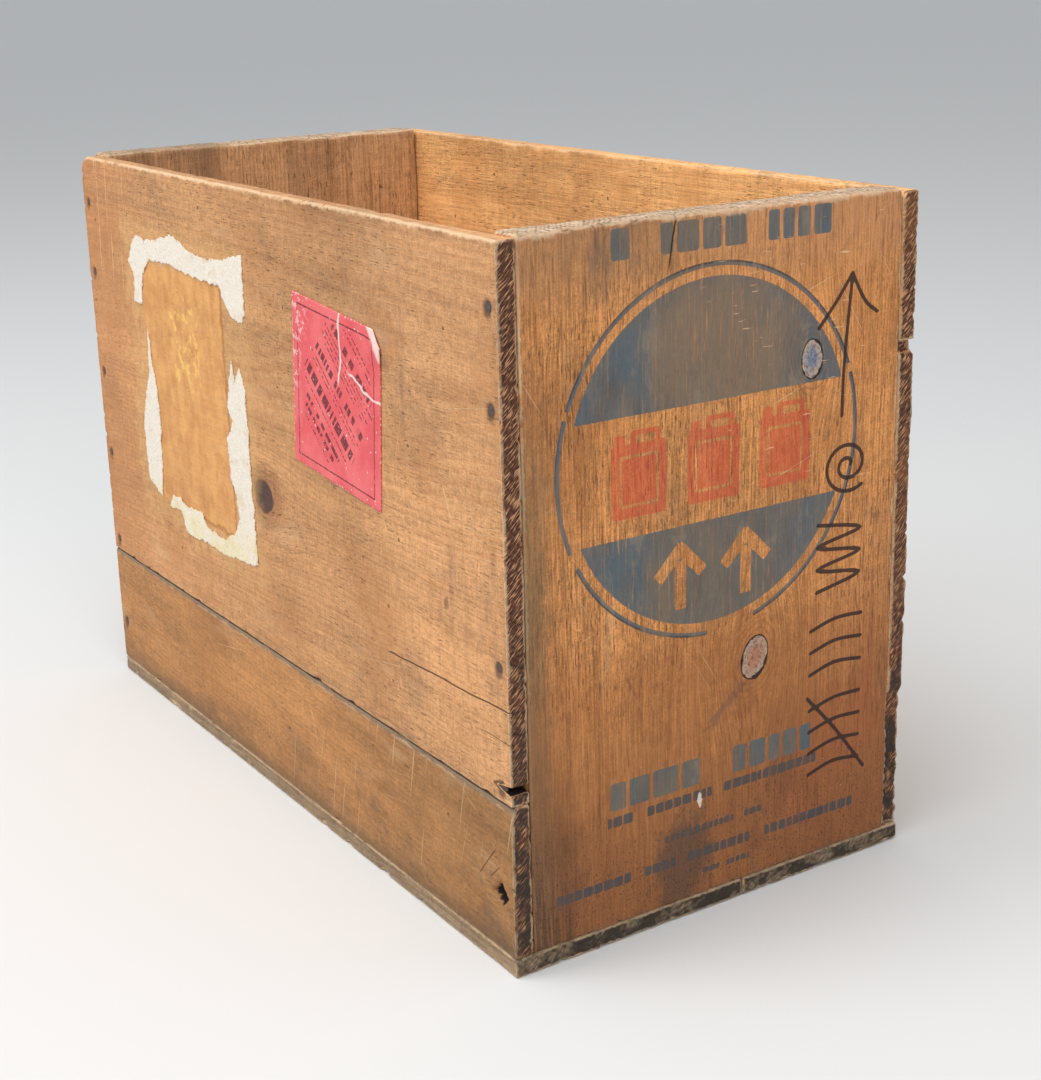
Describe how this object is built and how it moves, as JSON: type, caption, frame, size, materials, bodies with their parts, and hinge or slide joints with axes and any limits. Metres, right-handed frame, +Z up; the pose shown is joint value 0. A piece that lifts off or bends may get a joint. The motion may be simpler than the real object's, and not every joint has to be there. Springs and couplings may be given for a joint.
{
  "type": "wooden crate",
  "caption": "Open-topped nailed softwood shipping crate: thick end panels between thin two-board sides, two bottom boards, box nails and worn paper labels.",
  "frame": {"origin": "centre of the crate's footprint, on the ground", "axes": "+X along the length, out of the printed end panel; -Y out of the long side with the paper labels; +Z up, out of the open top"},
  "size_m": [0.5206, 0.2596, 0.3701],
  "materials": {
    "side_wood": "planed softwood, aged honey brown, lengthwise grain, worn and scuffed, dark end grain",
    "end_wood": "planed softwood, aged orange brown, upright grain, faded blue-grey and red stencil ink on the +X face",
    "bottom_wood": "rough-sawn softwood, weathered grey brown, splintered edges",
    "nail_steel": "dark, rusted steel",
    "red_paper": "matt pinkish red paper with black print, creased and torn",
    "white_paper": "matt off-white torn paper"
  },
  "bodies": {
    "root": {"bottom_board_label_side": "bottom_wood", "bottom_board_plain_side": "bottom_wood", "label_side_lower_board": "side_wood", "label_side_upper_board": "side_wood", "nail_bottom_board_label_side_plain_1": "nail_steel", "nail_bottom_board_label_side_plain_2": "nail_steel", "nail_bottom_board_label_side_plain_3": "nail_steel", "nail_bottom_board_label_side_printed_1": "nail_steel", "nail_bottom_board_label_side_printed_2": "nail_steel", "nail_bottom_board_label_side_printed_3": "nail_steel", "nail_bottom_board_plain_side_plain_1": "nail_steel", "nail_bottom_board_plain_side_plain_2": "nail_steel", "nail_bottom_board_plain_side_printed_1": "nail_steel", "nail_bottom_board_plain_side_printed_2": "nail_steel", "nail_bottom_edge_label_side_1": "nail_steel", "nail_bottom_edge_label_side_2": "nail_steel", "nail_bottom_edge_label_side_3": "nail_steel", "nail_bottom_edge_plain_side_1": "nail_steel", "nail_bottom_edge_plain_side_2": "nail_steel", "nail_bottom_edge_plain_side_3": "nail_steel", "nail_in_split": "nail_steel", "nail_label_side_lower_plain_1": "nail_steel", "nail_label_side_upper_plain_1": "nail_steel", "nail_label_side_upper_plain_2": "nail_steel", "nail_label_side_upper_plain_3": "nail_steel", "nail_label_side_upper_plain_4": "nail_steel", "nail_label_side_upper_plain_5": "nail_steel", "nail_label_side_upper_printed_1": "nail_steel", "nail_label_side_upper_printed_2": "nail_steel", "nail_label_side_upper_printed_3": "nail_steel", "nail_plain_side_lower_plain_1": "nail_steel", "nail_plain_side_lower_plain_2": "nail_steel", "nail_plain_side_lower_plain_3": "nail_steel", "nail_plain_side_lower_plain_4": "nail_steel", "nail_plain_side_lower_printed_1": "nail_steel", "nail_plain_side_lower_printed_2": "nail_steel", "nail_plain_side_lower_printed_3": "nail_steel", "nail_plain_side_lower_printed_4": "nail_steel", "nail_plain_side_upper_plain_1": "nail_steel", "nail_plain_side_upper_plain_2": "nail_steel", "nail_plain_side_upper_printed_1": "nail_steel", "nail_plain_side_upper_printed_2": "nail_steel", "plain_end_panel": "end_wood", "plain_side_lower_board": "side_wood", "plain_side_upper_board": "side_wood", "printed_end_panel": "end_wood", "red_label": "red_paper", "white_scrap_left": "white_paper", "white_scrap_right": "white_paper", "white_scrap_top": "white_paper"}
  },
  "joints": []
}
